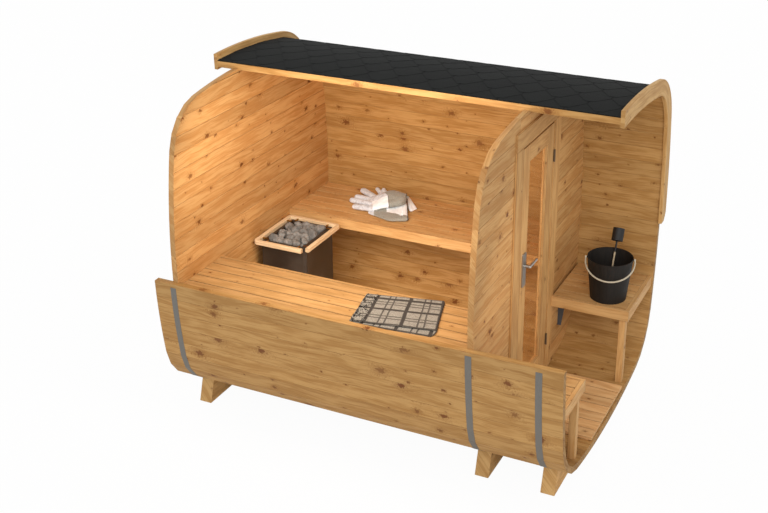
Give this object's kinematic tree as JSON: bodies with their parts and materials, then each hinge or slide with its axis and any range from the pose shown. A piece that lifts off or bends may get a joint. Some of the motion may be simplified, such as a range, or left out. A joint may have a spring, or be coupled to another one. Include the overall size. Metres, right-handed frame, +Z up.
{
  "type": "cube sauna cutaway",
  "caption": "Cutaway garden sauna: a rounded square shell of staves on cradles, with a hot room, a door and an open porch with benches.",
  "frame": {"origin": "on the ground, under the middle of the whole box", "axes": "+X along the shell towards the porch, -Y towards the cut-away near side, +Z up"},
  "size_m": [2.73, 2.0715, 2.245],
  "materials": {
    "stave_wood": "planed spruce with small knots",
    "wall_wood": "planed spruce boards",
    "bench_wood": "smooth pale boards",
    "door_wood": "smooth planed spruce",
    "shingle": "mineral-faced bitumen shingles",
    "band_steel": "flat stainless strap",
    "handle_steel": "satin",
    "bracket_steel": "zinc plated",
    "door_glass": "clear toughened glass",
    "heater_steel": "dark enamel",
    "stone": "rough olivine",
    "tab_brass": "plain brass",
    "rail_wood": "smooth rounded rail",
    "bucket_wall": "dark stained",
    "bail_wood": "bent pale wood",
    "ladle": "pale stick with a dark cup",
    "towel_cloth": "woven checked cloth with a fringe",
    "glove_leather": "soft split leather"
  },
  "bodies": {
    "root": {"shell_near_side": "stave_wood", "shell_bottom": "stave_wood", "shell_back": "stave_wood", "shell_roof": "stave_wood", "roof_cover": "shingle", "trim_left": "stave_wood", "trim_right": "stave_wood", "end_wall": "wall_wood", "partition_near": "wall_wood", "partition_rear": "wall_wood", "partition_head": "wall_wood", "partition_sill": "wall_wood", "door_frame": "door_wood", "door_boards": "door_wood", "hinge_pins": "bracket_steel", "room_floor": "bench_wood", "porch_floor": "bench_wood", "near_bench_frame": "bench_wood", "near_bench_slats": "bench_wood", "rear_bench_frame": "bench_wood", "rear_bench_slats": "bench_wood", "porch_near_frame": "bench_wood", "porch_near_slats": "bench_wood", "porch_rear_frame": "bench_wood", "porch_rear_slats": "bench_wood", "bench_bracket": "bracket_steel", "steel_bands": "band_steel", "cradle_left": "stave_wood", "cradle_middle": "stave_wood", "cradle_right": "stave_wood", "heater_case": "heater_steel", "heater_stones": "stone", "heater_rail": "rail_wood", "rail_tabs": "tab_brass", "bucket": "bucket_wall", "ladle": "ladle", "towel": "towel_cloth", "gloves": "glove_leather"},
    "door": {"door_leaf": "door_wood", "door_glass": "door_glass", "hinge_leaves": "bracket_steel", "door_plates": "handle_steel"},
    "lever": {"door_lever": "handle_steel"},
    "bail": {"bucket_bail": "bail_wood"}
  },
  "joints": [
    {"name": "door_hinge", "type": "hinge", "parent": "root", "child": "door", "pos_m": [0.814, 0.25375, 1.08], "axis": [0, 0, 1], "range_deg": [0, 90]},
    {"name": "lever_turn", "type": "hinge", "parent": "door", "child": "lever", "pos_m": [0.787, -0.23875, 1.183], "axis": [-1, 0, 0], "range_deg": [0, 35], "stiffness_Nm_per_rad": 1.5, "springref_deg": -28.65},
    {"name": "bail_swing", "type": "hinge", "parent": "root", "child": "bail", "pos_m": [1.147, 0.49888, 0.984], "axis": [-0.9681, -0.2504, 0], "range_deg": [0, 160]}
  ]
}
